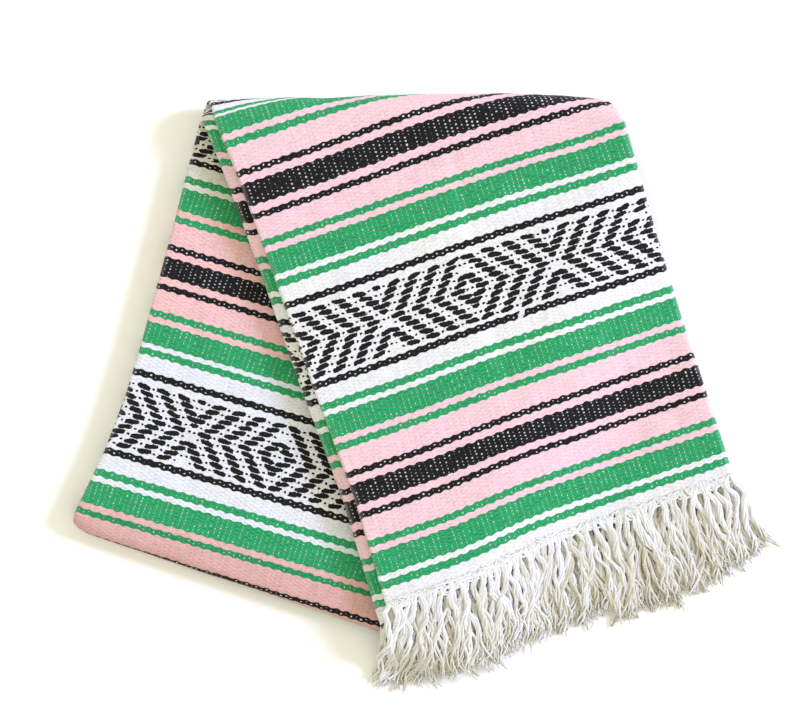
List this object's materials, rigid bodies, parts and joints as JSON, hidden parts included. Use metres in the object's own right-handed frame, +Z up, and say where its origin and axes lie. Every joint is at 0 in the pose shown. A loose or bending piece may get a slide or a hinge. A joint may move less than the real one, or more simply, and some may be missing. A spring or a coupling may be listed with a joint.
{
  "type": "folded mexican blanket",
  "caption": "Striped woven blanket folded in quarters, doubled end to end and hung over its middle, its knotted fringed hem on top; lies flat on a surface.",
  "frame": {"origin": "centre of the bounding box in plan, on the surface that the blanket lies on", "axes": "+X along the top fold, towards the hem's right end; +Y from the hem towards the top fold; +Z up"},
  "size_m": [0.5868, 0.5096, 0.0381],
  "materials": {
    "front_cloth": "matt woven cotton, pink, green, black and white stripes",
    "rear_cloth": "matt woven cotton, pink, green, black and white stripes",
    "underside_cloth": "matt woven cotton, pink, green, black and white stripes",
    "inner_plies": "matt woven cotton, folded edges of the striped plies",
    "selvedge": "matt woven cotton selvedge",
    "fringe": "undyed cream plied cotton yarn"
  },
  "bodies": {
    "root": {"front_cloth": "front_cloth", "rear_cloth": "rear_cloth", "underside_cloth": "underside_cloth", "front_selvedge_cloth": "selvedge", "inner_plies": "inner_plies", "fringe_upper": "fringe", "fringe_lower": "fringe"}
  },
  "joints": []
}
